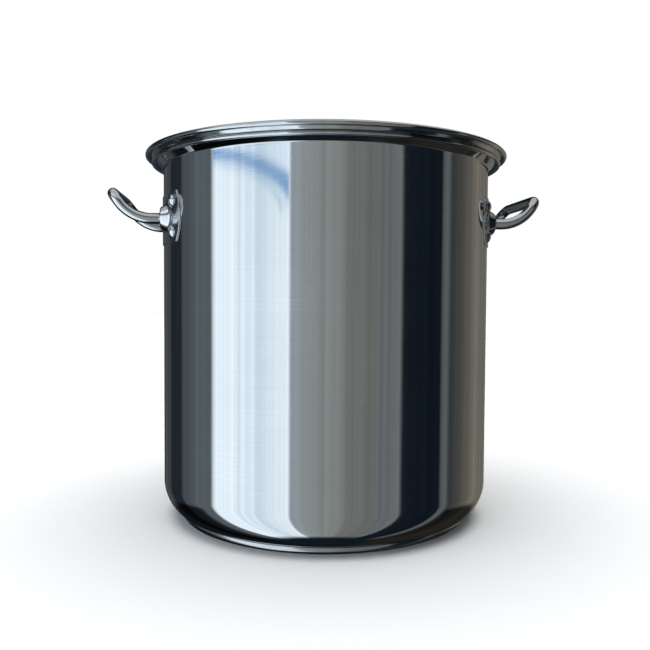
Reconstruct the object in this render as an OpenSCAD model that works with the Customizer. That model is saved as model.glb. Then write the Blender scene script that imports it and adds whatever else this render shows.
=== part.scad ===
// Brew kettle: a deep-drawn stainless pot with a capsule base, two riveted
// loop handles and a lift-off lid with a loop handle of its own.
// Millimetres, +Z up. The origin is the centre of the face it stands on, and
// the side handles lie along X.

/* [Kettle body] */
// Outer radius of the straight wall
body_r = 165; // [150:1:185]
// Sheet thickness of the drawn pot
wall_t = 1; // [0.8:0.1:1.2]
// Height of the neck, where the wall turns out into the rim
neck_z = 347.8; // [340:0.1:360]
// Radius of the bottom corner where it leaves the wall
corner_upper_r = 38; // [30:1:45]
// Radius of the bottom corner where it runs into the bottom
corner_lower_r = 14; // [10:1:20]
// Outer radius of the bend at the neck
neck_r = 2; // [1.5:0.5:3]
// Height of the rim above the neck
rim_h = 7.7; // [7:0.1:8.5]
// Distance from the wall out to the middle of the rim's bead
rim_w = 9.8; // [9.4:0.1:10.4]
// Radius of the rolled bead round the rim
rim_bead_r = 1.9; // [1.5:0.1:2.2]

/* [Capsule base] */
// Height of the capsule, from the floor to the pot's own bottom
base_h = 7; // [6.5:0.5:9]
// Outer radius of the capsule
base_r = 148; // [140:1:149]
// Radius of the capsule's rounded lower edge
base_edge_r = 6; // [4:0.5:6]
// Sheet thickness of the capsule's cover
cap_t = 0.8; // [0.6:0.1:1]

/* [Side handles] */
// Diameter of the bent rod
rod_d = 10.4; // [9:0.2:12]
// Height of the rod where it meets the wall
root_z = 296; // [280:1:310]
// Distance between the two legs, centre to centre
leg_gap = 92; // [86:0.5:98]
// Level part of each leg, measured from the wall's radius
leg_stub = 7.4; // [7:0.2:12]
// Radius of the upward bend in each leg
lift_r = 38; // [30:1:42]
// Rise of the loop after the bend, for each 3 mm outward
lift_slope = 4; // [3:0.5:4]
// Radius of the two corners of the loop
loop_corner_r = 12; // [10:1:24]

/* [Handle plates] */
// Width of each plate, seen from straight outside
plate_w = 169; // [166:1:174]
// Height of each plate
plate_h = 47; // [46:1:52]
// Sheet thickness of each plate
plate_t = 1; // [0.8:0.1:1.6]
// Radius of the rounded ends of each plate
plate_end_r = 42; // [38:0.5:50]
// Radius of the pressed boss round each leg, at its foot
boss_foot_r = 15; // [14:0.5:17]
// Radius of the boss at its top
boss_top_r = 10.5; // [8:0.5:11]
// How far short of the wall's radius the boss's top stays
boss_short = 1.5; // [0.8:0.1:2]
// Height of the boss's sloped part
boss_h = 6.6; // [5.5:0.1:7.5]

/* [Rivets] */
// Radius of a rivet's shank
shank_r = 3; // [2.5:0.1:3.5]
// Radius of a rivet's head
head_r = 6.3; // [5:0.1:6.5]
// Height of the domed outer head
head_h = 3.4; // [2.5:0.1:4]
// Height of the flat inner head
tail_h = 1.8; // [1.2:0.1:2.4]
// Sideways distance from a leg's axis to the rivets beside it
rivet_side = 22; // [21.5:0.5:24]
// Vertical distance from the leg's axis to each rivet
rivet_rise = 14.5; // [14:0.5:16]

/* [Lid] */
// Sheet thickness of the lid
lid_t = 1; // [0.8:0.1:1.2]
// Play between the lid and the rim it sits in
lid_play = 0.35; // [0.3:0.05:0.6]
// Radius of the circle along the middle of the lid's bead
lid_bead_at = 180.2; // [180:0.1:182]
// Height of the middle of the bead above the neck
lid_bead_rise = 12.7; // [12.2:0.1:14]
// Radius of the bead
lid_bead_r = 2.4; // [2:0.1:2.6]
// Radius of the curve from the skirt out over the rim
lid_seat_r = 8; // [7:0.5:9]
// Length of the straight skirt
skirt_drop = 5.8; // [4:0.1:8]
// Radius of the curve from the skirt into the gutter
gutter_r = 5; // [4:0.5:6]
// Radius at which the gutter's floor ends
gutter_in = 149; // [145:1:151]
// Radius of the raised middle panel
panel_r = 137; // [120:1:139]
// Height of the panel's top face above the neck
panel_rise = 5.2; // [3:0.1:6]

/* [Lid handle] */
// Diameter of the lid handle's rod
lid_rod_d = 9; // [8:0.5:10]
// Distance between the lid handle's legs, centre to centre
lid_leg_gap = 96; // [90:1:104]
// Height of the rod's middle above the panel
lid_loop_h = 38; // [36:1:42]
// Radius of the lid handle's corners
lid_corner_r = 18; // [14:1:20]
// Width of the lid handle's plate, which has round ends
lid_plate_w = 156; // [154:1:170]
// Depth of the lid handle's plate, front to back
lid_plate_d = 40; // [38:1:46]
// Radius of the lid plate's bosses, at their foot
lid_boss_foot_r = 13; // [12:0.5:13.5]
// Radius of the lid plate's bosses, at their top
lid_boss_top_r = 7.5; // [7:0.5:8]
// Height of the lid plate's bosses above the plate
lid_boss_h = 5; // [3:0.5:6]
// Radius of a lid rivet's head
lid_head_r = 5; // [4.5:0.1:5.2]
// Sideways distance from a lid leg's axis to the rivets beside it
lid_rivet_side = 18; // [17:0.5:19]
// Distance of the lid rivets in front of and behind the middle
lid_rivet_y = 9; // [8:0.5:10]

/* [Hidden] */
SIDES = ["left", "right"];
CORNERS = [1, 2, 3, 4];

STEEL = [0.80, 0.80, 0.81];
STEEL_DULL = [0.70, 0.70, 0.72];
ALUMINIUM = [0.62, 0.63, 0.65];
FINE = 180;    // facets on the large rounds
SMALL = 64;    // facets on rods, beads and rivets
BEND = 96;     // facets round the bends of a rod
ROD = 40;      // facets round a rod
eps = 0.01;
leg_gap_to_wall = 0.1;    // clearance between a leg's flat end and the round wall
rivet_bed = 0.02;         // clearance under the rim of a side rivet's inner head
seat_past_bead = 0.2;     // how far the lid's level seat runs past the rim's bead
hole_reach = 4;           // how far a rivet hole's cutter reaches to either side
bore_l = 40;              // length of the cutter for a leg's hole in its boss

// the bottom corner is two arcs that meet at 45 degrees
corner_step = (corner_upper_r - corner_lower_r) * sin(45);
upper_c = [body_r - corner_upper_r, base_h + corner_lower_r + corner_step];
lower_c = [upper_c[0] + corner_step, base_h + corner_lower_r];
// the rim: a bend at the neck, a slope that rises 3 for each 4 outward, and a flat flange
rim_rise = 3;
rim_run = 4;
rim_way = 5;      // length of the slope for that rise and run
rim_top_z = neck_z + rim_h;
flange_z = rim_top_z - wall_t;
rim_bead_at = body_r + rim_w;
neck_c = [body_r + neck_r, neck_z];
neck_end = atan2(rim_run, -rim_rise);
// the lid's skirt fits the wall, and its seat lies over the flange
skirt_r = body_r - wall_t - lid_play;
seat_z = rim_top_z + lid_play;
seat_c = [skirt_r + lid_seat_r, seat_z - lid_seat_r];
lid_bead_z = neck_z + lid_bead_rise;
panel_z = neck_z + panel_rise;
gutter_c = [skirt_r - lid_t - gutter_r, seat_c[1] - skirt_drop];
gutter_z = gutter_c[1] - gutter_r;
seat_end_r = rim_bead_at + seat_past_bead;
// side handle loop
lift_angle = atan2(lift_slope, 3);
leg_y = leg_gap / 2;
bend_x = body_r + leg_stub;
loop_start = [bend_x + lift_r * sin(lift_angle), 0, root_z + lift_r * (1 - cos(lift_angle))];
// flat end of a leg, just clear of the round wall, at a whole tenth
wall_at_leg = sqrt(pow(body_r, 2) - pow(leg_y - rod_d / 2, 2));
leg_end_x = ceil(10 * (wall_at_leg + leg_gap_to_wall)) / 10;
rivet_azimuth = asin((leg_y + rivet_side) / body_r);
// lid handle
lid_leg_x = lid_leg_gap / 2;
lid_loop_z = panel_z + lid_loop_h;

// signs of the four corners of a rivet pattern: 1 upper near, then round
function corner_a(i) = i == 1 || i == 2 ? -1 : 1;
function corner_b(i) = i == 1 || i == 4 ? 1 : -1;

// flat sheet between two corners
module flat_sheet(a, b) {
    polygon([[a[0], a[1]], [b[0], a[1]], [b[0], b[1]], [a[0], b[1]]]);
}

// flat ring segment of a sheet bent round a point c, from angle a to angle b
module bent_sheet(c, r_in, r_out, a, b) {
    far = 2 * r_out;
    translate(c)
        intersection() {
            difference() {
                circle(r = r_out, $fn = FINE);
                circle(r = r_in, $fn = FINE);
            }
            polygon([
                [0, 0],
                [far * cos(a), far * sin(a)],
                [far * cos((a + b) / 2), far * sin((a + b) / 2)],
                [far * cos(b), far * sin(b)]
            ]);
        }
}

// half section of a flat disc whose lower edge is rounded
module dish_section(r, edge, h) {
    square([r - edge, h]);
    translate([0, edge])
        square([r, h - edge]);
    translate([r - edge, edge])
        intersection() {
            circle(r = edge, $fn = SMALL);
            translate([0, -edge])
                square(edge);
        }
}

// point on the bend at the neck where it runs into the slope, r from its centre
function neck_out(r) = [neck_c[0] - r * rim_rise / rim_way, neck_c[1] + r * rim_run / rim_way];

// radius at which the slope that starts at a reaches height z
function slope_at(a, z) = a[0] + (z - a[1]) * rim_run / rim_rise;

// half section of the slope and flange
module rim_section() {
    under = neck_out(neck_r);
    over = neck_out(neck_r + wall_t);
    polygon([
        under,
        [slope_at(under, flange_z), flange_z],
        [rim_bead_at, flange_z],
        [rim_bead_at, rim_top_z],
        [slope_at(over, rim_top_z), rim_top_z],
        over
    ]);
}

// half section of the drawn pot
module shell_section() {
    flat_sheet([0, base_h], [lower_c[0], base_h + wall_t]);
    bent_sheet(lower_c, corner_lower_r - wall_t, corner_lower_r, -90, -45);
    bent_sheet(upper_c, corner_upper_r - wall_t, corner_upper_r, -45, 0);
    flat_sheet([body_r - wall_t, upper_c[1]], [body_r, neck_z]);
    bent_sheet(neck_c, neck_r, neck_r + wall_t, neck_end, 180);
    rim_section();
    translate([rim_bead_at, rim_top_z - rim_bead_r])
        circle(r = rim_bead_r, $fn = SMALL);
}

// half section of the lid
module lid_section() {
    translate([lid_bead_at, lid_bead_z])
        circle(r = lid_bead_r, $fn = SMALL);
    polygon([
        [seat_end_r, seat_z],
        [lid_bead_at, lid_bead_z - lid_bead_r / 2],
        [lid_bead_at - lid_bead_r * 0.7, lid_bead_z],
        [seat_end_r, seat_z + lid_t]
    ]);
    flat_sheet([seat_c[0], seat_z], [seat_end_r, seat_z + lid_t]);
    bent_sheet(seat_c, lid_seat_r, lid_seat_r + lid_t, 90, 180);
    flat_sheet([skirt_r - lid_t, gutter_c[1]], [skirt_r, seat_c[1]]);
    bent_sheet(gutter_c, gutter_r, gutter_r + lid_t, -90, 0);
    polygon([
        [gutter_in, gutter_z - lid_t],
        [gutter_c[0], gutter_z - lid_t],
        [gutter_c[0], gutter_z],
        [gutter_in, gutter_z],
        [panel_r, panel_z],
        [0, panel_z],
        [0, panel_z - lid_t],
        [panel_r - lid_t / 2, panel_z - lid_t]
    ]);
}

module kettle_shell() {
    color(STEEL)
        difference() {
            rotate_extrude($fn = FINE)
                shell_section();
            for (s = SIDES, i = CORNERS)
                side_rivet_place(s, i)
                    rivet_hole();
        }
}

module base_cap() {
    color(STEEL_DULL)
        difference() {
            rotate_extrude($fn = FINE)
                dish_section(base_r, base_edge_r, base_h);
            translate([0, 0, cap_t])
                rotate_extrude($fn = FINE)
                    dish_section(base_r - cap_t, base_edge_r - cap_t, base_h);
        }
}

module base_core() {
    color(ALUMINIUM)
        translate([0, 0, cap_t])
            rotate_extrude($fn = FINE)
                dish_section(base_r - cap_t, base_edge_r - cap_t, base_h - cap_t);
}

// takes what is built on the +X side to the right side, or round to the left
module on_side(s) {
    rotate([0, 0, s == "left" ? 180 : 0])
        children();
}

// puts a rivet built along +X from the wall's radius at its place
module side_rivet_place(s, i) {
    on_side(s)
        rotate([0, 0, corner_a(i) * rivet_azimuth])
            translate([body_r, 0, root_z + corner_b(i) * rivet_rise])
                rotate([0, 90, 0])
                    children();
}

// hole for a rivet's shank, through plate and wall
module rivet_hole() {
    translate([0, 0, -hole_reach])
        cylinder(r = shank_r, h = 2 * hole_reach, $fn = SMALL);
}

// rivet along +Z: a shank through the grip, a domed head and a flat head
module rivet(grip_low, grip_high, head) {
    dome_r = (pow(head, 2) + pow(head_h, 2)) / (2 * head_h);
    translate([0, 0, grip_low - eps])
        cylinder(r = shank_r, h = grip_high - grip_low + 2 * eps, $fn = SMALL);
    translate([0, 0, grip_low - tail_h])
        cylinder(r = head, h = tail_h, $fn = SMALL);
    translate([0, 0, grip_high])
        rotate_extrude($fn = SMALL)
            intersection() {
                translate([0, head_h - dome_r])
                    circle(r = dome_r, $fn = FINE);
                square([head, head_h]);
            }
}

// one leg of a handle rod, from its flat end to the end of its corner, with e
// -1 for the leg nearer the front and 1 for the other
module side_rod_leg(e) {
    translate([leg_end_x, e * leg_y, root_z])
        rotate([0, 90, 0])
            cylinder(d = rod_d, h = bend_x - leg_end_x, $fn = ROD);
    translate([bend_x, e * leg_y, root_z + lift_r])
        rotate([90, 0, 0])
            rotate([0, 0, -90])
                rotate_extrude(angle = lift_angle, $fn = BEND)
                    translate([lift_r, 0])
                        circle(d = rod_d, $fn = ROD);
    // fills the meeting of the two bends, and changes nothing outside them
    translate(loop_start + [0, e * leg_y, 0])
        sphere(d = rod_d, $fn = ROD);
    translate(loop_start)
        rotate([0, -lift_angle, 0])
            translate([0, e * (leg_y - loop_corner_r), 0])
                rotate([0, 0, e < 0 ? -90 : 0])
                    rotate_extrude(angle = 90, $fn = BEND)
                        translate([loop_corner_r, 0])
                            circle(d = rod_d, $fn = ROD);
}

module side_handle_rod(s) {
    color(STEEL)
        on_side(s) {
            for (e = [-1, 1])
                side_rod_leg(e);
            translate(loop_start)
                rotate([0, -lift_angle, 0])
                    translate([loop_corner_r, loop_corner_r - leg_y, 0])
                        rotate([-90, 0, 0])
                            cylinder(d = rod_d, h = leg_gap - 2 * loop_corner_r, $fn = ROD);
        }
}

// outline of a handle plate, seen from straight outside
module plate_outline() {
    end_at = plate_w / 2 - plate_end_r;
    intersection() {
        square([plate_w, plate_h], center = true);
        union() {
            square([2 * end_at + plate_end_r, plate_h], center = true);
            for (e = [-1, 1])
                translate([e * end_at, 0])
                    circle(r = plate_end_r, $fn = FINE);
        }
    }
}

module side_handle_plate(s) {
    boss_top_x = body_r - boss_short;
    boss_foot_x = boss_top_x - boss_h;
    // the boss's foot goes straight on into the wall, which is then cut away
    boss_sunk = boss_foot_r;
    color(STEEL)
        difference() {
            on_side(s)
                difference() {
                    union() {
                        intersection() {
                            translate([0, 0, root_z - plate_h])
                                cylinder(r = body_r + plate_t, h = 2 * plate_h, $fn = 2 * FINE);
                            translate([body_r / 2, 0, root_z])
                                rotate([90, 0, 90])
                                    linear_extrude(height = body_r)
                                        plate_outline();
                        }
                        for (e = [-1, 1])
                            translate([boss_foot_x, e * leg_y, root_z])
                                rotate([0, 90, 0]) {
                                    cylinder(r1 = boss_foot_r, r2 = boss_top_r, h = boss_h,
                                        $fn = SMALL);
                                    translate([0, 0, -boss_sunk])
                                        cylinder(r = boss_foot_r, h = boss_sunk, $fn = SMALL);
                                }
                    }
                    translate([0, 0, root_z - 2 * plate_h])
                        cylinder(r = body_r, h = 4 * plate_h, $fn = 2 * FINE);
                    for (e = [-1, 1])
                        translate([leg_end_x - leg_gap_to_wall, e * leg_y, root_z])
                            rotate([0, 90, 0])
                                cylinder(d = rod_d, h = bore_l, $fn = SMALL);
                }
            for (i = CORNERS)
                side_rivet_place(s, i)
                    rivet_hole();
        }
}

module side_rivet(s, i) {
    // the inner head bears on its rim, because the wall inside is hollow
    hollow = body_r - sqrt(pow(body_r - wall_t, 2) - pow(head_r, 2));
    color(STEEL)
        side_rivet_place(s, i)
            rivet(-hollow - rivet_bed, plate_t, head_r);
}

// places a lid rivet, built along +Z from the panel's top face
module lid_rivet_place(i) {
    translate([corner_a(i) * (lid_leg_x + lid_rivet_side), corner_b(i) * lid_rivet_y, panel_z])
        children();
}

module lid_pan() {
    color(STEEL)
        difference() {
            rotate_extrude($fn = FINE)
                lid_section();
            for (i = CORNERS)
                lid_rivet_place(i)
                    rivet_hole();
        }
}

module lid_handle_plate() {
    end_at = (lid_plate_w - lid_plate_d) / 2;
    color(STEEL)
        difference() {
            union() {
                translate([0, 0, panel_z])
                    linear_extrude(height = plate_t) {
                        square([2 * end_at, lid_plate_d], center = true);
                        for (e = [-1, 1])
                            translate([e * end_at, 0])
                                circle(d = lid_plate_d, $fn = FINE);
                    }
                for (e = [-1, 1])
                    translate([e * lid_leg_x, 0, panel_z + plate_t])
                        cylinder(r1 = lid_boss_foot_r, r2 = lid_boss_top_r,
                            h = lid_boss_h, $fn = SMALL);
            }
            for (e = [-1, 1])
                translate([e * lid_leg_x, 0, panel_z + plate_t])
                    cylinder(d = lid_rod_d, h = 2 * lid_boss_h, $fn = SMALL);
            for (i = CORNERS)
                lid_rivet_place(i)
                    rivet_hole();
        }
}

module lid_rod_half() {
    foot_z = panel_z + plate_t;
    translate([lid_leg_x, 0, foot_z])
        cylinder(d = lid_rod_d, h = lid_loop_z - lid_corner_r - foot_z, $fn = SMALL);
    translate([lid_leg_x - lid_corner_r, 0, lid_loop_z - lid_corner_r])
        rotate([90, 0, 0])
            rotate_extrude(angle = 90, $fn = FINE)
                translate([lid_corner_r, 0])
                    circle(d = lid_rod_d, $fn = SMALL);
    translate([0, 0, lid_loop_z])
        rotate([0, 90, 0])
            cylinder(d = lid_rod_d, h = lid_leg_x - lid_corner_r, $fn = SMALL);
}

module lid_handle_rod() {
    color(STEEL) {
        lid_rod_half();
        mirror([1, 0, 0])
            lid_rod_half();
    }
}

module lid_rivet(i) {
    color(STEEL)
        lid_rivet_place(i)
            rivet(-lid_t, plate_t, lid_head_r);
}

kettle_shell();
base_core();
base_cap();
for (s = SIDES)
    side_handle_rod(s);
for (s = SIDES)
    side_handle_plate(s);
for (s = SIDES, i = CORNERS)
    side_rivet(s, i);
lid_pan();
lid_handle_rod();
lid_handle_plate();
for (i = CORNERS)
    lid_rivet(i);
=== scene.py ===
"""Brew kettle: polished stainless pot, capsule base, riveted loop handles and a lift-off lid."""
import math

import bmesh
import bpy
import numpy as np
from mathutils import Matrix, Vector


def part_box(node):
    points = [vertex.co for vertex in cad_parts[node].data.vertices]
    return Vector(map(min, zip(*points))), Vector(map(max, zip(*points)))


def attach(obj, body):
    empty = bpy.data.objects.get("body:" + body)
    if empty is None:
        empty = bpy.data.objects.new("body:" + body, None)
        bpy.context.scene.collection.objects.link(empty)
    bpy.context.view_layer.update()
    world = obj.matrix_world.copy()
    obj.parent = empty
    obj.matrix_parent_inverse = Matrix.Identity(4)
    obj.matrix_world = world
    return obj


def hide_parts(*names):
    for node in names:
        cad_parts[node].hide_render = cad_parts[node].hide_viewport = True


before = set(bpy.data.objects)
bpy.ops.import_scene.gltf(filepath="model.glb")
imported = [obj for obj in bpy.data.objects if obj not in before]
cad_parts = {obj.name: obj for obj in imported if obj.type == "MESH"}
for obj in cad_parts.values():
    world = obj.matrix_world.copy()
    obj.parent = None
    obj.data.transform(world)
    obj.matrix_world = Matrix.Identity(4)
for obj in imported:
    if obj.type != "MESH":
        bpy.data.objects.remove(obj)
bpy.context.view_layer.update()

MM = 0.001
TAU = 2 * math.pi
ROUND = 360         # faces round the pot and the lid
SIDES = ("left", "right")
FLAT = 0.02 * MM    # width of a step that keeps two faces apart

# ---------------------------------------------------------------- sizes, metres
# pot and capsule base
WALL_T = 1.0 * MM
RIM_BEAD = 1.9 * MM
NECK_R = 2 * MM
RIM_H = 7.7 * MM
RIM_W = 9.8 * MM
RIM_SLOPE = math.atan2(3, 4)
FLANGE_BEND_R = 1.5 * MM
FLANGE_END = 1.2 * MM       # from the flange's straight end to the bead's middle
UPPER_R = 38 * MM
LOWER_R = 14 * MM
CAP_T = 0.8 * MM
CAP_EDGE = 6 * MM
CAP_LIP = 0.35 * MM
# side handles
ROD_R = 5.2 * MM
ROD_BEND = 38 * MM
LOOP_CORNER = 12 * MM
LOOP_SLOPE = math.atan2(4, 3)
PLATE_T = 1.0 * MM
PLATE_END_R = 42 * MM
BOSS_SHORT = 1.5 * MM
BOSS_H = 6.6 * MM
BOSS_TOP_R = 10.5 * MM
BOSS_FOOT_R = 15 * MM
WELD_W = 2.2 * MM
WELD_H = 1.3 * MM
# rivets
SHANK_R = 3 * MM
SIDE_HEAD_R = 6.3 * MM
LID_HEAD_R = 5 * MM
HEAD_H = 3.4 * MM
TAIL_H = 1.8 * MM
HEAD_LIP = 0.25 * MM
SIDE_GRIP = PLATE_T + WALL_T + 0.15 * MM
# lid
LID_T = 1.0 * MM
LID_PLAY = 0.35 * MM
LID_SEAT_R = 8 * MM
LID_BEAD = 2.4 * MM
LID_INSET = 0.01 * MM       # keeps the bead's faces inside the real edge
LID_PANEL_R = 137 * MM
LID_GUTTER_R = 149 * MM
LID_PANEL_BEND = 4 * MM
LID_GUTTER_BEND = 5 * MM
LID_CORNER = 18 * MM
LID_ROD_R = 4.5 * MM
LID_BOSS_H = 5 * MM
LID_BOSS_TOP_R = 7.5 * MM
LID_BOSS_FOOT_R = 13 * MM
LID_WELD_W = 2 * MM
LID_WELD_H = 1.2 * MM

shell_lo, shell_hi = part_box("kettle_shell")
base_h = shell_lo.z
rim_top = shell_hi.z
bead_at = shell_hi.x - RIM_BEAD
body_r = bead_at - RIM_W
neck_z = rim_top - RIM_H


# ---------------------------------------------------------------- mesh tools
def mesh_object(name, verts, faces):
    mesh = bpy.data.meshes.new(name)
    mesh.from_pydata([tuple(v) for v in verts], [], faces)
    mesh.validate()
    mesh.update()
    for p in mesh.polygons:
        p.use_smooth = True
    obj = bpy.data.objects.new(name, mesh)
    bpy.context.scene.collection.objects.link(obj)
    return obj


def arc(centre, radius, start, end, step=6):
    """Points of an arc between two angles in degrees, both ends included."""
    n = max(2, int(abs(end - start) / step) + 1)
    return [(centre[0] + radius * math.cos(math.radians(a)),
             centre[1] + radius * math.sin(math.radians(a)))
            for a in np.linspace(start, end, n)]


def line(a, b):
    """Points of a straight stretch, with a close pair at each end that keeps the shading true."""
    ends = 0.4 * MM
    a, b = np.array(a), np.array(b)
    length = np.linalg.norm(b - a)
    if length < 3 * ends:
        return [tuple(a), tuple(b)]
    u = (b - a) / length
    cuts = [0, ends, 3 * ends, length - ends, length]
    if length > 7 * ends:
        cuts.append(length - 3 * ends)
    if length > 20 * MM:
        cuts += list(np.arange(8 * MM, length - 8 * MM, 12 * MM))
    return [tuple(a + u * c) for c in sorted(set(cuts))]


def join(*runs):
    """One outline from several runs of points, without doubled points."""
    out = []
    for run in runs:
        for p in run:
            if not out or math.dist(out[-1], p) > 1e-6:
                out.append(tuple(p))
    return out


def fillet(corners):
    """Outline through (x, z, radius) corners, each turned on its own radius."""
    out = [corners[0][:2]]
    for before, here, after in zip(corners, corners[1:], corners[2:]):
        p = np.array(here[:2])
        u = np.array(before[:2]) - p
        v = np.array(after[:2]) - p
        u, v = u / np.linalg.norm(u), v / np.linalg.norm(v)
        half = math.acos(max(-1, min(1, float(u @ v)))) / 2
        reach = here[2] / math.tan(half)
        centre = p + (u + v) / np.linalg.norm(u + v) * here[2] / math.sin(half)
        a = p + u * reach - centre
        b = p + v * reach - centre
        a0 = math.degrees(math.atan2(a[1], a[0]))
        a1 = math.degrees(math.atan2(b[1], b[0]))
        turn = (a1 - a0 + 180) % 360 - 180
        out += line(out[-1], tuple(centre + a))[1:]
        out += arc(centre, here[2], a0, a0 + turn, 8)[1:]
    out += line(out[-1], corners[-1][:2])[1:]
    return out


def sheet(centre_line, t):
    """Closed outline of a sheet of thickness t along its middle line, rounded at its free end."""
    c = np.array(centre_line)
    d = np.gradient(c, axis=0)
    d /= np.linalg.norm(d, axis=1)[:, None]
    n = np.stack([-d[:, 1], d[:, 0]], 1) * t / 2
    one, other = c + n, c - n
    cap = [tuple(c[-1] + d[-1] * t / 2 * math.sin(a) + n[-1] * math.cos(a))
           for a in np.linspace(0, math.pi, 7)[1:-1]]
    return [tuple(p) for p in one] + cap + [tuple(p) for p in other[::-1]]


def lathe(name, outline, around=ROUND, place=Matrix.Identity(4)):
    """Turns an outline of (radius, height) about Z. Its first and last points lie on the axis."""
    angles = np.arange(around) * TAU / around
    verts, rings = [], []
    for r, z in outline:
        if r < 1e-7:
            rings.append([len(verts)])
            verts.append(place @ Vector((0, 0, z)))
        else:
            rings.append(list(range(len(verts), len(verts) + around)))
            verts += [place @ Vector((r * math.cos(a), r * math.sin(a), z)) for a in angles]
    faces = []
    for low, high in zip(rings, rings[1:]):
        for i in range(around):
            j = (i + 1) % around
            if len(low) == 1:
                faces.append((low[0], high[j], high[i]))
            elif len(high) == 1:
                faces.append((low[i], low[j], high[0]))
            else:
                faces.append((low[i], low[j], high[j], high[i]))
    return mesh_object(name, verts, faces)


def rod(name, path, radius, sides=48):
    """Round rod along a smooth path, capped flat at both ends."""
    pts = [Vector(p) for p in path]
    tangents = [((pts[min(i + 1, len(pts) - 1)] - pts[max(i - 1, 0)]).normalized())
                for i in range(len(pts))]
    side = tangents[0].orthogonal().normalized()
    verts, rings = [], []
    for p, t in zip(pts, tangents):
        side = (side - t * side.dot(t)).normalized()
        up = t.cross(side)
        rings.append(range(len(verts), len(verts) + sides))
        verts += [p + (side * math.cos(a) + up * math.sin(a)) * radius
                  for a in np.arange(sides) * TAU / sides]
    faces = []
    for low, high in zip(rings, rings[1:]):
        for i in range(sides):
            j = (i + 1) % sides
            faces.append((low[i], low[j], high[j], high[i]))
    faces.append(tuple(reversed(rings[0])))
    faces.append(tuple(rings[-1]))
    return mesh_object(name, verts, faces)


def graded(length):
    """Distances from one edge to the other, close together at both edges."""
    edge = [0, 0.06 * MM, 0.2 * MM, 0.42 * MM, 0.7 * MM, 1.0 * MM, 1.5 * MM, 2.0 * MM]
    step = 0.8 * MM
    inner = np.arange(edge[-1] + step, length - edge[-1], step)
    return np.array(edge + list(inner) + [length - e for e in reversed(edge)])


def smooth_max(a, b, k):
    """The greater of a and b, rounded over within k of where they cross."""
    h = max(0.0, min(1.0, 0.5 + (a - b) / (2 * k)))
    return b + (a - b) * h + k * h * (1 - h)


def weld_bead(dist, rod_r, width, height):
    """Height of the weld round a rod's foot, at a distance from the rod's middle."""
    if dist >= rod_r + width:
        return 0
    return height * (1 - max(0, dist - rod_r) / width) ** 2


def pressed_plate(name, half_w, height, end_r, boss_y, place, boss_edge):
    """Sheet plate with round ends, a rounded edge all round and a raised boss at each rod.

    place(y, z, off) gives the point off metres in front of what the plate lies on.
    boss_edge(y, dist) gives how far in front the boss reaches, dist from the rod's middle.
    """
    end_at = half_w - end_r
    rows = graded(height) - height / 2
    cols = graded(2 * half_w) / half_w - 1
    half_t = PLATE_T / 2
    front, back = [], []
    for z in rows:
        bow = math.sqrt(max(0, end_r ** 2 - z ** 2))
        w = end_at + bow
        for y in cols * w:
            slope = bow / end_r if abs(y) > end_at else 1
            edge = min(height / 2 - abs(z), (w - abs(y)) * slope)
            part = min(1, max(0, edge / half_t))
            bulge = half_t * math.sqrt(max(0, 1 - (1 - part) ** 2))
            off = half_t + bulge
            for b in (-boss_y, boss_y):
                dist = math.hypot(y - b, z)
                if dist < BOSS_FOOT_R * 1.6:
                    off = smooth_max(off, boss_edge(y, dist), 1.6 * MM)
            front.append(place(y, z, off))
            back.append(place(y, z, half_t - bulge))
    n_row, n_col = len(rows), len(cols)
    verts = front + back
    shift = len(front)
    faces = []
    for i in range(n_row - 1):
        for j in range(n_col - 1):
            a = i * n_col + j
            b, c, d = a + 1, a + 1 + n_col, a + n_col
            faces.append((a, b, c, d))
            faces.append((shift + d, shift + c, shift + b, shift + a))
    rim = list(range(n_col))
    rim += [i * n_col + n_col - 1 for i in range(1, n_row)]
    rim += [(n_row - 1) * n_col + j for j in range(n_col - 2, -1, -1)]
    rim += [i * n_col for i in range(n_row - 2, 0, -1)]
    for k, a in enumerate(rim):
        b = rim[(k + 1) % len(rim)]
        faces.append((b, a, shift + a, shift + b))
    return mesh_object(name, verts, faces)


def clean(obj):
    """Joins points that lie on each other, and turns every face outwards."""
    bm = bmesh.new()
    bm.from_mesh(obj.data)
    bmesh.ops.remove_doubles(bm, verts=bm.verts, dist=1e-6)
    bmesh.ops.recalc_face_normals(bm, faces=bm.faces)
    bm.to_mesh(obj.data)
    bm.free()


def dress(obj, node, body, material):
    """Stands obj in for a CAD node, on that node's body."""
    clean(obj)
    obj.data.materials.append(material)
    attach(obj, body)
    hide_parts(node)


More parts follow.
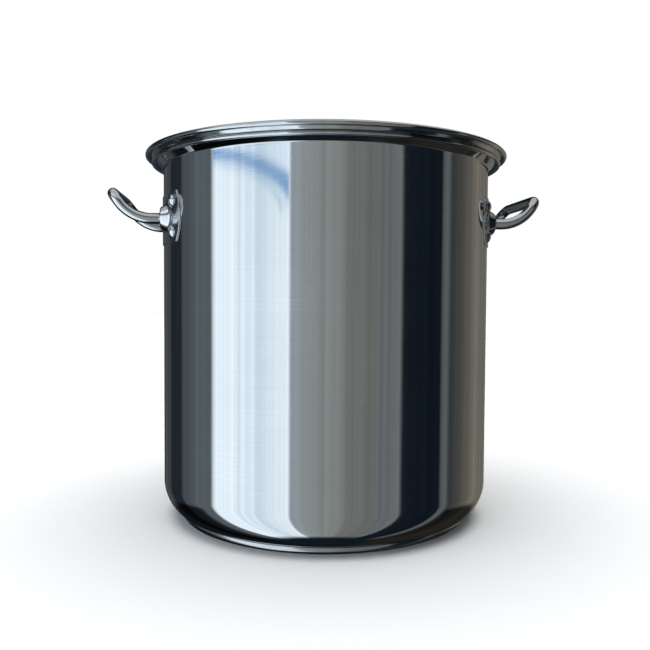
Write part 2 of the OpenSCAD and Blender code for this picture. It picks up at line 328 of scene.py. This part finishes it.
# ---------------------------------------------------------------- materials
class Nodes:
    """Short names for building one node tree."""

    def __init__(self, tree):
        self.tree = tree

    def add(self, kind, **values):
        node = self.tree.nodes.new(kind)
        for key, value in values.items():
            setattr(node, key, value)
        return node

    def link(self, a, b):
        self.tree.links.new(a, b)

    def feed(self, socket, value):
        """Links an output to a socket, or sets a plain value on it."""
        if isinstance(value, (int, float, tuple)):
            socket.default_value = value
        else:
            self.link(value, socket)

    def spread(self, value, low, high, out_low, out_high, smooth=False):
        kind = "SMOOTHSTEP" if smooth else "LINEAR"
        node = self.add("ShaderNodeMapRange", interpolation_type=kind)
        node.inputs["From Min"].default_value = low
        node.inputs["From Max"].default_value = high
        node.inputs["To Min"].default_value = out_low
        node.inputs["To Max"].default_value = out_high
        self.link(value, node.inputs["Value"])
        return node.outputs["Result"]

    def mix(self, factor, a, b):
        node = self.add("ShaderNodeMix", data_type="RGBA")
        self.feed(node.inputs["A"], a)
        self.feed(node.inputs["B"], b)
        self.link(factor, node.inputs["Factor"])
        return node.outputs["Result"]

    def math(self, kind, *values):
        node = self.add("ShaderNodeMath", operation=kind)
        for socket, value in zip(node.inputs, values):
            self.feed(socket, value)
        return node.outputs["Value"]

    def multiply(self, a, b):
        """Product of two colours."""
        node = self.add("ShaderNodeVectorMath", operation="MULTIPLY")
        self.link(a, node.inputs[0])
        self.link(b, node.inputs[1])
        return node.outputs["Vector"]

    def scale(self, colour, by):
        node = self.add("ShaderNodeVectorMath", operation="SCALE")
        self.link(colour, node.inputs[0])
        self.link(by, node.inputs["Scale"])
        return node.outputs["Vector"]

    def ramp(self, value, stops):
        """Colour ramp through (place, colour) stops, in their order."""
        node = self.add("ShaderNodeValToRGB")
        elements = node.color_ramp.elements
        for i, (place, colour) in enumerate(stops):
            e = elements[i] if i < 2 else elements.new(place)
            e.position = place
            e.color = (*colour, 1)
        self.link(value, node.inputs["Fac"])
        return node.outputs["Color"]


class Surface(Nodes):
    """Node tree of one new material, with noise laid on the object's own coordinates."""

    def __init__(self, name):
        self.material = bpy.data.materials.new(name)
        self.material.use_nodes = True
        super().__init__(self.material.node_tree)
        self.shader = self.tree.nodes["Principled BSDF"]
        self.where = self.add("ShaderNodeTexCoord").outputs["Object"]

    def noise(self, stretch, scale, detail, rough=0.55):
        mapping = self.add("ShaderNodeMapping")
        mapping.inputs["Scale"].default_value = stretch
        self.link(self.where, mapping.inputs["Vector"])
        node = self.add("ShaderNodeTexNoise")
        node.inputs["Scale"].default_value = scale
        node.inputs["Detail"].default_value = detail
        node.inputs["Roughness"].default_value = rough
        self.link(mapping.outputs["Vector"], node.inputs["Vector"])
        return node.outputs["Fac"]

    def bump(self, height, distance, under=None):
        node = self.add("ShaderNodeBump")
        node.inputs["Distance"].default_value = distance
        node.inputs["Strength"].default_value = 1.0
        self.link(height, node.inputs["Height"])
        if under:
            self.link(under, node.inputs["Normal"])
        return node.outputs["Normal"]


def steel(name, tint, rough, lines, line_depth, wave=0.0, anisotropic=0.0):
    """Stainless steel. lines is the stretch of its polishing lines, wave the depth of its slow ripple."""
    n = Surface(name)
    n.shader.inputs["Metallic"].default_value = 1.0
    n.shader.inputs["Anisotropic"].default_value = anisotropic
    if anisotropic:
        tangent = n.add("ShaderNodeTangent", direction_type="RADIAL", axis="Z")
        n.link(tangent.outputs["Tangent"], n.shader.inputs["Tangent"])
    fine = n.noise(lines, 1, 6, 0.75)
    patches = n.spread(n.noise((1, 1, 1), 9, 5, 0.6), 0.35, 0.7, 0, 1)
    tone = n.math("MULTIPLY", patches, n.spread(fine, 0.35, 0.6, 0, 1))
    dark = tuple(c * 0.90 for c in tint)
    n.link(n.mix(tone, (*dark, 1), (*tint, 1)), n.shader.inputs["Base Color"])
    print_marks = n.noise((1, 1, 0.6), 26, 6, 0.7)
    roughness = n.math("ADD", n.spread(print_marks, 0.45, 0.8, rough, rough + 0.03),
                       n.spread(fine, 0.35, 0.75, -0.3 * rough, 0.5 * rough))
    n.link(roughness, n.shader.inputs["Roughness"])
    normal = n.bump(fine, line_depth)
    if wave:
        normal = n.bump(n.noise((1, 1, 0.35), 5, 1, 0.3), wave, under=normal)
    n.link(normal, n.shader.inputs["Normal"])
    return n.material


POLISHED_TINT = (0.70, 0.71, 0.72)
polished = steel("polished_steel", POLISHED_TINT, 0.05, (5, 5, 1100), 0.005 * MM, 0.6 * MM, 0.6)
lid_steel = steel("lid_steel", POLISHED_TINT, 0.07, (30, 30, 900), 0.004 * MM, 0.3 * MM, 0.5)
plate_steel = steel("plate_steel", (0.78, 0.79, 0.81), 0.15, (60, 900, 60), 0.003 * MM, 0.2 * MM)
rod_steel = steel("rod_steel", (0.76, 0.77, 0.78), 0.07, (260, 260, 260), 0.006 * MM)
rivet_steel = steel("rivet_steel", (0.74, 0.76, 0.80), 0.18, (700, 700, 700), 0.010 * MM)
base_steel = steel("base_steel", (0.60, 0.61, 0.62), 0.16, (40, 40, 1200), 0.008 * MM, anisotropic=0.6)
core_metal = steel("core_aluminium", (0.60, 0.61, 0.63), 0.35, (300, 300, 300), 0.010 * MM)


# ---------------------------------------------------------------- pot
def curl(centre, radius, from_point):
    """Middle line of a sheet that runs straight from a point and curls over and down round a bead."""
    turn = 290
    px, pz = from_point
    dist = math.dist(centre, from_point)
    toward = math.degrees(math.atan2(centre[1] - pz, centre[0] - px))
    lift = math.degrees(math.asin(radius / dist))
    start = toward + lift + 90
    round_it = arc(centre, radius, start, start - turn, 10)
    return join(line(from_point, round_it[0])[1:], round_it)


def make_shell():
    """Pot: flat bottom, rounded corner in two bends, wall, flared rim and curled bead."""
    step = (UPPER_R - LOWER_R) * math.sin(math.radians(45))
    upper = (body_r - UPPER_R, base_h + LOWER_R + step)
    lower = (upper[0] + step, base_h + LOWER_R)
    half = WALL_T / 2
    slope_deg = math.degrees(RIM_SLOPE)
    bend = arc((body_r + NECK_R, neck_z), NECK_R + half, 180, 90 + slope_deg, 5)
    flange_z = rim_top - half
    flange_at = bend[-1][0] + (flange_z - bend[-1][1]) / math.tan(RIM_SLOPE)
    bead_from = (bead_at - FLANGE_END, flange_z)
    slope = fillet([(*bend[-1], 0), (flange_at, flange_z, FLANGE_BEND_R), (*bead_from, 0)])
    middle = join(
        line((0, base_h + half), (lower[0], base_h + half)),
        arc(lower, LOWER_R - half, -90, -45, 5),
        arc(upper, UPPER_R - half, -45, 0, 3),
        line((body_r - half, upper[1]), (body_r - half, neck_z)),
        bend,
        slope,
        curl((bead_at, rim_top - RIM_BEAD), RIM_BEAD - half, bead_from),
    )
    return lathe("pot", sheet(middle, WALL_T))


def make_base_cap():
    """Cover of the capsule base: a shallow dish with a rounded edge."""
    lo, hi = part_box("base_cap")
    flat_r = hi.x - CAP_EDGE
    inner = hi.x - CAP_T
    outline = join(
        line((0, lo.z), (flat_r, lo.z)),
        arc((flat_r, lo.z + CAP_EDGE), CAP_EDGE, -90, 0, 5),
        arc((hi.x - CAP_LIP, hi.z - CAP_LIP), CAP_LIP, 0, 90, 20),
        arc((inner + CAP_LIP, hi.z - CAP_LIP), CAP_LIP, 90, 180, 20),
        arc((flat_r, lo.z + CAP_EDGE), CAP_EDGE - CAP_T, 0, -90, 5),
        line((flat_r, lo.z + CAP_T), (0, lo.z + CAP_T)),
    )
    return lathe("base_cover", outline)


# ---------------------------------------------------------------- side handles
rod_lo, rod_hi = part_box("right_handle_rod")
leg_y = (rod_hi.y - rod_lo.y) / 2 - ROD_R
root_z = rod_lo.z + ROD_R
bar_x = rod_hi.x - ROD_R
bend_x = bar_x - LOOP_CORNER * math.cos(LOOP_SLOPE) - ROD_BEND * math.sin(LOOP_SLOPE)


def to_side(s, p):
    """Takes a point on the right side to that side, by half a turn."""
    return Vector(p) if s == "right" else Vector((-p[0], -p[1], p[2]))


def side_rod_path():
    """Middle line of the right handle's rod, from one flat end to the other."""
    out = Vector((math.cos(LOOP_SLOPE), 0, math.sin(LOOP_SLOPE)))
    across = Vector((0, 1, 0))
    half = [Vector((x, -leg_y, root_z)) for x in np.linspace(rod_lo.x, bend_x, 6)]
    centre = Vector((bend_x, -leg_y, root_z + ROD_BEND))
    for a in np.linspace(0, LOOP_SLOPE, 24)[1:]:
        half.append(centre + ROD_BEND * Vector((math.sin(a), 0, -math.cos(a))))
    centre = half[-1] + across * LOOP_CORNER
    for a in np.linspace(0, math.pi / 2, 28)[1:]:
        half.append(centre + LOOP_CORNER * (out * math.sin(a) - across * math.cos(a)))
    bar = [half[-1] + across * d for d in np.linspace(0, -2 * half[-1].y, 8)[1:-1]]
    return half + bar + [Vector((p.x, -p.y, p.z)) for p in reversed(half)]


def make_side_rod(s):
    return rod(s + "_handle", [to_side(s, p) for p in side_rod_path()], ROD_R)


def make_side_plate(s):
    """Plate curved to the wall, with flat-topped bosses square to the rods."""
    lo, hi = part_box(s + "_handle_plate")
    foot_x = body_r - BOSS_SHORT - BOSS_H

    def place(y, z, off):
        a = math.asin(y / body_r)
        r = body_r + off
        return to_side(s, (r * math.cos(a), r * math.sin(a), root_z + z))

    def boss_edge(y, dist):
        slope = BOSS_H / (BOSS_FOOT_R - BOSS_TOP_R)
        x = foot_x + min(BOSS_H, (BOSS_FOOT_R - dist) * slope)
        x += weld_bead(dist, ROD_R, WELD_W, WELD_H)
        return x / math.cos(math.asin(y / body_r)) - body_r

    half_w = (hi.y - lo.y) / 2
    return pressed_plate(s + "_plate", half_w, hi.z - lo.z, PLATE_END_R, leg_y, place, boss_edge)


def rivet_outline(head_r, grip):
    """Domed head above z = 0, shank through the grip, and flat head, about Z."""
    dome = (head_r ** 2 + HEAD_H ** 2) / (2 * HEAD_H)
    edge = math.degrees(math.asin(head_r / dome))
    lip = HEAD_LIP
    return join(
        arc((0, HEAD_H - dome), dome, 90, 90 - edge * 0.96, 4),
        [(head_r, lip), (head_r - lip / 2, FLAT)],
        [(SHANK_R, FLAT), (SHANK_R, -grip - FLAT)],
        arc((head_r - lip, -grip - lip), lip, 90, 0, 30),
        arc((head_r - 2 * lip, -grip - TAIL_H + 2 * lip), 2 * lip, 0, -90, 15),
        [(0, -grip - TAIL_H)],
    )


def make_rivet(node, axis, grip_at, head_r, grip):
    """A rivet along axis, whose outer head's foot is at the point grip_at."""
    turn = Vector((0, 0, 1)).rotation_difference(axis).to_matrix().to_4x4()
    name = node.replace("rivet", "rivet_head")
    return lathe(name, rivet_outline(head_r, grip), 48, Matrix.Translation(grip_at) @ turn)


def make_side_rivet(node):
    lo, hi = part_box(node)
    mid = (lo + hi) / 2
    axis = Vector((mid.x, mid.y, 0)).normalized()
    grip_at = axis * (body_r + PLATE_T) + Vector((0, 0, mid.z))
    return make_rivet(node, axis, grip_at, SIDE_HEAD_R, SIDE_GRIP)


# ---------------------------------------------------------------- lid
lid_lo, lid_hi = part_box("lid_pan")
lid_bead_at = lid_hi.x - LID_BEAD - LID_INSET
lid_bead_z = lid_hi.z - LID_BEAD
plate_lo, plate_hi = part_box("lid_handle_plate")
panel_z = plate_lo.z
lid_rod_lo, lid_rod_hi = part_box("lid_handle_rod")
lid_leg_x = lid_rod_hi.x - LID_ROD_R


def make_lid():
    """Lid: raised panel, gutter, skirt inside the rim, seat on the rim and curled bead."""
    half = LID_T / 2
    gutter_z = lid_lo.z + half
    skirt_r = body_r - WALL_T - LID_PLAY - half
    seat_z = rim_top + LID_PLAY + half
    seat_at = (skirt_r + half + LID_SEAT_R, seat_z - half - LID_SEAT_R)
    seat_end = (bead_at + 0.2 * MM, seat_z)
    inner = fillet([
        (0, panel_z - half, 0),
        (LID_PANEL_R, panel_z - half, LID_PANEL_BEND),
        (LID_GUTTER_R, gutter_z, LID_PANEL_BEND),
        (skirt_r, gutter_z, LID_GUTTER_BEND + half),
        (skirt_r, seat_at[1], 0),
    ])
    slope = curl((lid_bead_at, lid_bead_z), LID_BEAD - half, seat_end)
    middle = join(inner, arc(seat_at, LID_SEAT_R + half, 180, 90, 5), [seat_end], slope)
    return lathe("lid", sheet(middle, LID_T))


def make_lid_plate():
    """Flat plate with half-round ends and a boss at each leg of the lid's handle."""
    depth = plate_hi.y - plate_lo.y

    def place(x, y, off):
        return Vector((x, y, panel_z + off))

    def boss_edge(_x, dist):
        slope = LID_BOSS_H / (LID_BOSS_FOOT_R - LID_BOSS_TOP_R)
        height = min(LID_BOSS_H, (LID_BOSS_FOOT_R - dist) * slope)
        return PLATE_T + height + weld_bead(dist, LID_ROD_R, LID_WELD_W, LID_WELD_H)

    return pressed_plate("lid_plate", plate_hi.x, depth, depth / 2, lid_leg_x, place, boss_edge)


def make_lid_rod():
    top = lid_rod_hi.z - LID_ROD_R
    half = [Vector((lid_leg_x, 0, z)) for z in np.linspace(lid_rod_lo.z, top - LID_CORNER, 6)]
    for a in np.linspace(0, math.pi / 2, 26)[1:]:
        half.append(Vector((lid_leg_x - LID_CORNER * (1 - math.cos(a)), 0,
                            top - LID_CORNER * (1 - math.sin(a)))))
    bar = [Vector((x, 0, top)) for x in np.linspace(half[-1].x, -half[-1].x, 10)[1:-1]]
    path = half + bar + [Vector((-p.x, 0, p.z)) for p in reversed(half)]
    return rod("lid_handle", path, LID_ROD_R)


def make_lid_rivet(node):
    lo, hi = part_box(node)
    at = Vector(((lo.x + hi.x) / 2, (lo.y + hi.y) / 2, panel_z + PLATE_T))
    return make_rivet(node, Vector((0, 0, 1)), at, LID_HEAD_R, PLATE_T + LID_T)


# ---------------------------------------------------------------- build
dress(make_shell(), "kettle_shell", "kettle", polished)
dress(make_base_cap(), "base_cap", "kettle", base_steel)
for s in SIDES:
    dress(make_side_rod(s), s + "_handle_rod", "kettle", rod_steel)
    dress(make_side_plate(s), s + "_handle_plate", "kettle", plate_steel)
    for i in (1, 2, 3, 4):
        node = f"{s}_rivet_{i}"
        dress(make_side_rivet(node), node, "kettle", rivet_steel)
dress(make_lid(), "lid_pan", "lid", lid_steel)
dress(make_lid_plate(), "lid_handle_plate", "lid", plate_steel)
dress(make_lid_rod(), "lid_handle_rod", "lid", rod_steel)
for i in (1, 2, 3, 4):
    node = f"lid_rivet_{i}"
    dress(make_lid_rivet(node), node, "lid", rivet_steel)
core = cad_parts["base_core"]
core.data.materials.clear()
core.data.materials.append(core_metal)


# ---------------------------------------------------------------- stage
def emission(name, colour):
    m = bpy.data.materials.new(name)
    m.use_nodes = True
    n = Nodes(m.node_tree)
    n.tree.nodes.clear()
    out = n.add("ShaderNodeOutputMaterial")
    glow = n.add("ShaderNodeEmission")
    glow.inputs["Color"].default_value = (*colour, 1)
    n.link(glow.outputs["Emission"], out.inputs["Surface"])
    return m


def make_floor():
    """Pale floor. Polished steel doesn't mirror it, as if it ended just beyond the kettle."""
    floor = lathe("floor", [(0, 0), (9, 0)], 96)
    n = Surface("floor_paper")
    tone = n.mix(n.noise((1, 1, 1), 40, 6), (0.80, 0.80, 0.80, 1), (0.82, 0.82, 0.82, 1))
    n.link(tone, n.shader.inputs["Base Color"])
    n.shader.inputs["Roughness"].default_value = 0.9
    n.shader.inputs["Specular IOR Level"].default_value = 0.1
    floor.data.materials.append(n.material)
    floor.visible_glossy = False


def make_backdrop():
    """White backdrop all round, for the camera only."""
    dome = lathe("backdrop", arc((0, -0.1), 9, -5, 90, 5), 96)
    dome.data.materials.append(emission("backdrop_white", (1, 1, 1)))
    dome.visible_glossy = False
    dome.visible_diffuse = False
    dome.visible_shadow = False


# Light and dark panels round the kettle: brightness and colour at angles to the right
# of the camera, in degrees, as the kettle sees them. Between two angles they blend.
PANELS = [
    (-180, (0.03, 0.04, 0.05)),
    (-157, (0.03, 0.04, 0.05)),
    (-152, (0.085, 0.092, 0.098)),
    (-136, (0.060, 0.066, 0.072)),
    (-134, (0.020, 0.026, 0.034)),
    (-117, (0.022, 0.028, 0.036)),
    (-115, (0.075, 0.092, 0.105)),
    (-93, (0.135, 0.168, 0.185)),
    (-82, (0.125, 0.150, 0.160)),
    (-81, (1.25, 1.40, 1.52)),
    (-55, (1.15, 1.30, 1.42)),
    (-45, (0.95, 1.12, 1.28)),
    (-24, (1.22, 1.36, 1.46)),
    (-23, (0.42, 0.48, 0.55)),
    (-20, (0.40, 0.45, 0.48)),
    (0, (0.33, 0.36, 0.35)),
    (12, (0.30, 0.32, 0.31)),
    (14, (0.24, 0.25, 0.24)),
    (36, (0.20, 0.205, 0.20)),
    (38, (0.17, 0.19, 0.21)),
    (51, (0.22, 0.23, 0.23)),
    (53, (0.010, 0.016, 0.024)),
    (85, (0.006, 0.011, 0.018)),
    (86, (0.15, 0.17, 0.18)),
    (92, (0.13, 0.15, 0.155)),
    (94, (0.045, 0.052, 0.054)),
    (108, (0.10, 0.10, 0.088)),
    (128, (0.24, 0.22, 0.18)),
    (146, (0.17, 0.16, 0.13)),
    (160, (0.18, 0.17, 0.15)),
    (164, (0.03, 0.035, 0.04)),
    (180, (0.03, 0.04, 0.05)),
]
# Brightness of the panels against how far a direction points up.
LINTEL = [(0, 1), (0.27, 1), (0.33, 0.14), (0.50, 0.12), (0.58, 1), (1, 1)]
# The bright window among the panels: its two sides, and the arch across its top. The arch is
# half an ellipse, with its middle and half-width in degrees and its foot and rise in height.
WINDOW = (-81, -24)
ARCH_MIDDLE = -80
ARCH_HALF_W = 58
ARCH_FOOT = 0.118
ARCH_RISE = 0.066
WINDOW_TOP = 0.26
# Tint from the arch's middle (0) out past its rim (0.5): clear, pale arch, blue sky, cloud.
ARCH_TINTS = [
    (0, (1, 1, 1)),
    (0.425, (1, 1, 1)),
    (0.430, (0.55, 0.70, 0.76)),
    (0.442, (0.55, 0.70, 0.76)),
    (0.447, (0.86, 0.92, 0.94)),
    (0.486, (0.84, 0.90, 0.93)),
    (0.491, (0.50, 0.66, 0.76)),
    (0.500, (0.27, 0.42, 0.66)),
    (0.605, (0.30, 0.45, 0.68)),
    (0.612, (0.90, 0.94, 0.97)),
    (1, (0.94, 0.97, 1.0)),
]
CEILING = (0.55, 0.57, 0.59, 1)
GROUND = (0.008, 0.014, 0.022, 1)
VIEW_TURN = math.radians(6.1)       # the camera's turn round the kettle, to the left


def window_arch(n, azimuth, height):
    """Tint of the bright window: a pale arch near its top, with blue sky above the arch."""
    across = n.math("DIVIDE", n.math("SUBTRACT", azimuth, math.radians(ARCH_MIDDLE)),
                    math.radians(ARCH_HALF_W))
    up = n.math("DIVIDE", n.math("SUBTRACT", height, ARCH_FOOT), ARCH_RISE)
    squares = n.math("ADD", n.math("MULTIPLY", across, across), n.math("MULTIPLY", up, up))
    tint = n.ramp(n.math("MULTIPLY", n.math("SQRT", squares), 0.5), ARCH_TINTS)
    sides = n.math("MULTIPLY", n.math("GREATER_THAN", azimuth, math.radians(WINDOW[0])),
                   n.math("LESS_THAN", azimuth, math.radians(WINDOW[1])))
    span = n.math("MULTIPLY", n.math("GREATER_THAN", height, ARCH_FOOT),
                  n.math("LESS_THAN", height, WINDOW_TOP))
    return n.mix(n.math("MULTIPLY", sides, span), (1, 1, 1, 1), tint)


def make_world():
    """Room round the kettle: panels, a window, a ceiling and the ground, for its reflections."""
    world = bpy.data.worlds.new("studio")
    bpy.context.scene.world = world
    world.use_nodes = True
    n = Nodes(world.node_tree)
    turn = n.add("ShaderNodeVectorRotate", rotation_type="Z_AXIS")
    turn.inputs["Angle"].default_value = VIEW_TURN
    n.link(n.add("ShaderNodeTexCoord").outputs["Generated"], turn.inputs["Vector"])
    split = n.add("ShaderNodeSeparateXYZ")
    n.link(turn.outputs["Vector"], split.inputs["Vector"])
    back, height = split.outputs["Y"], split.outputs["Z"]
    azimuth = n.math("ARCTAN2", split.outputs["X"], n.math("MULTIPLY", back, -1))
    stops = [((angle + 180) / 360, colour) for angle, colour in PANELS]
    panels = n.ramp(n.spread(azimuth, -math.pi, math.pi, 0, 1), stops)
    panels = n.multiply(panels, window_arch(n, azimuth, height))
    # a dark strip above head height, and dark ground behind the kettle
    lintel = n.ramp(height, [(at, (level,) * 3) for at, level in LINTEL])
    dark = n.math("MULTIPLY", n.spread(height, -0.36, -0.45, 0, 1, smooth=True),
                  n.spread(back, 0, 0.15, 0, 1, smooth=True))
    panels = n.multiply(panels, n.scale(lintel, n.spread(dark, 0, 1, 1, 0.12)))
    # faint upright streaks, as of blinds and door frames
    streaks = n.add("ShaderNodeTexNoise", noise_dimensions="1D")
    streaks.inputs["Scale"].default_value = 11
    streaks.inputs["Detail"].default_value = 4
    streaks.inputs["Roughness"].default_value = 0.7
    n.link(azimuth, streaks.inputs["W"])
    panels = n.scale(panels, n.spread(streaks.outputs["Fac"], 0.3, 0.7, 0.78, 1.13))
    # above and below, the panels give way to a grey ceiling and a dark ground
    room = n.mix(n.spread(height, 0.55, 0.85, 0, 1, smooth=True), panels, CEILING)
    room = n.mix(n.spread(height, -0.92, -0.975, 0, 1, smooth=True), room, GROUND)
    background = n.tree.nodes["Background"]
    n.link(room, background.inputs["Color"])
    background.inputs["Strength"].default_value = 1.0


def make_floor_light():
    """Even soft light from above, for the floor: the steel doesn't mirror it."""
    data = bpy.data.lights.new("overhead", "SUN")
    data.energy = 3.0
    data.angle = math.radians(60)
    light = bpy.data.objects.new("overhead", data)
    bpy.context.scene.collection.objects.link(light)
    light.visible_glossy = False


def make_camera():
    """Camera a little above the kettle's middle, and a little to the left of square on."""
    data = bpy.data.cameras.new("camera")
    data.lens = 39.97
    data.sensor_width = 36
    camera = bpy.data.objects.new("camera", data)
    bpy.context.scene.collection.objects.link(camera)
    distance = 4.593 * body_r
    height = 1.347 * body_r
    camera.location = (-distance * math.sin(VIEW_TURN), -distance * math.cos(VIEW_TURN), height)
    pitch, roll = math.radians(2.25), math.radians(0.34)
    turn = Matrix.Rotation(-VIEW_TURN, 4, "Z") @ Matrix.Rotation(math.pi / 2 - pitch, 4, "X")
    camera.rotation_euler = (turn @ Matrix.Rotation(roll, 4, "Z")).to_euler()
    bpy.context.scene.camera = camera


make_camera()
make_floor()
make_backdrop()
make_world()
make_floor_light()
bpy.context.scene.view_settings.view_transform = "Standard"
